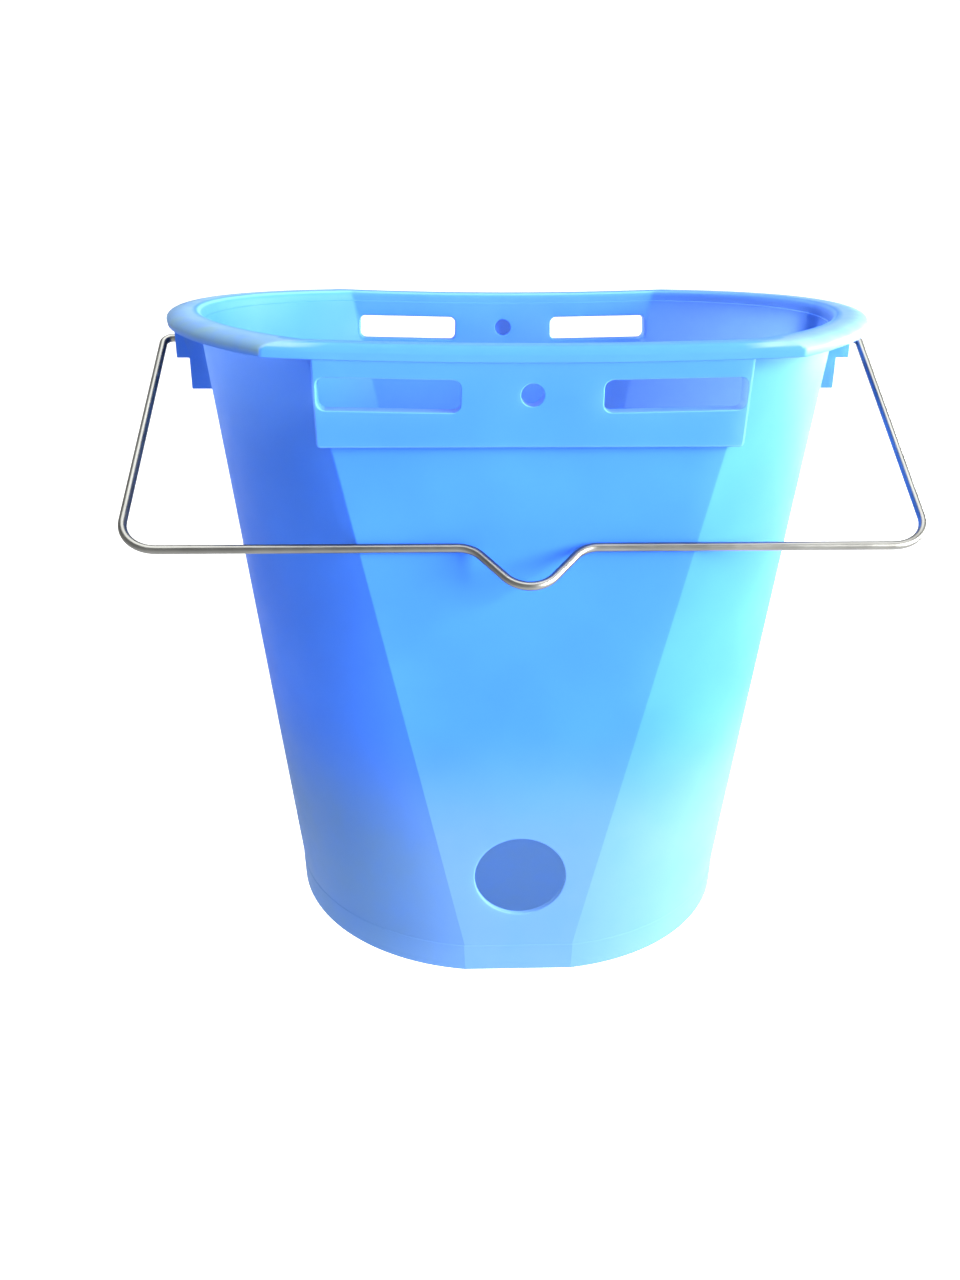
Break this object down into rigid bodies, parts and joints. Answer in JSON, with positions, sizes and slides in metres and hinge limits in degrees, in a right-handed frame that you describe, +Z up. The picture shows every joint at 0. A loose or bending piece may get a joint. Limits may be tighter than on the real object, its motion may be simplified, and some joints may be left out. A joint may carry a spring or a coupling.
{
  "type": "feed bucket",
  "caption": "Flat-sided livestock feed bucket with slotted hanger pads, a rimmed mouth, an open teat hole near the base and a swinging wire bail.",
  "frame": {"origin": "centre of the foot, on the ground, where the bucket's two vertical symmetry planes meet the standing surface", "axes": "+X along the bail's pivot axis, -Y towards the front flat with the teat hole, +Z up"},
  "size_m": [0.3154, 0.2425, 0.2868],
  "materials": {
    "blue_plastic": "semi-gloss injection-moulded polypropylene",
    "steel_wire": "bright drawn steel wire"
  },
  "bodies": {
    "bucket": {"floor": "blue_plastic", "foot_ring": "blue_plastic", "front_wall": "blue_plastic", "rear_wall": "blue_plastic", "right_wall": "blue_plastic", "left_wall": "blue_plastic", "rim": "blue_plastic", "front_hanger_pad": "blue_plastic", "rear_hanger_pad": "blue_plastic", "right_lug": "blue_plastic", "left_lug": "blue_plastic"},
    "bail": {"bail_handle": "steel_wire"}
  },
  "joints": [
    {"name": "bail_swing", "type": "hinge", "parent": "bucket", "child": "bail", "pos_m": [0, 0, 0.2713], "axis": [-1, 0, 0], "range_deg": [0, 242.9]}
  ]
}
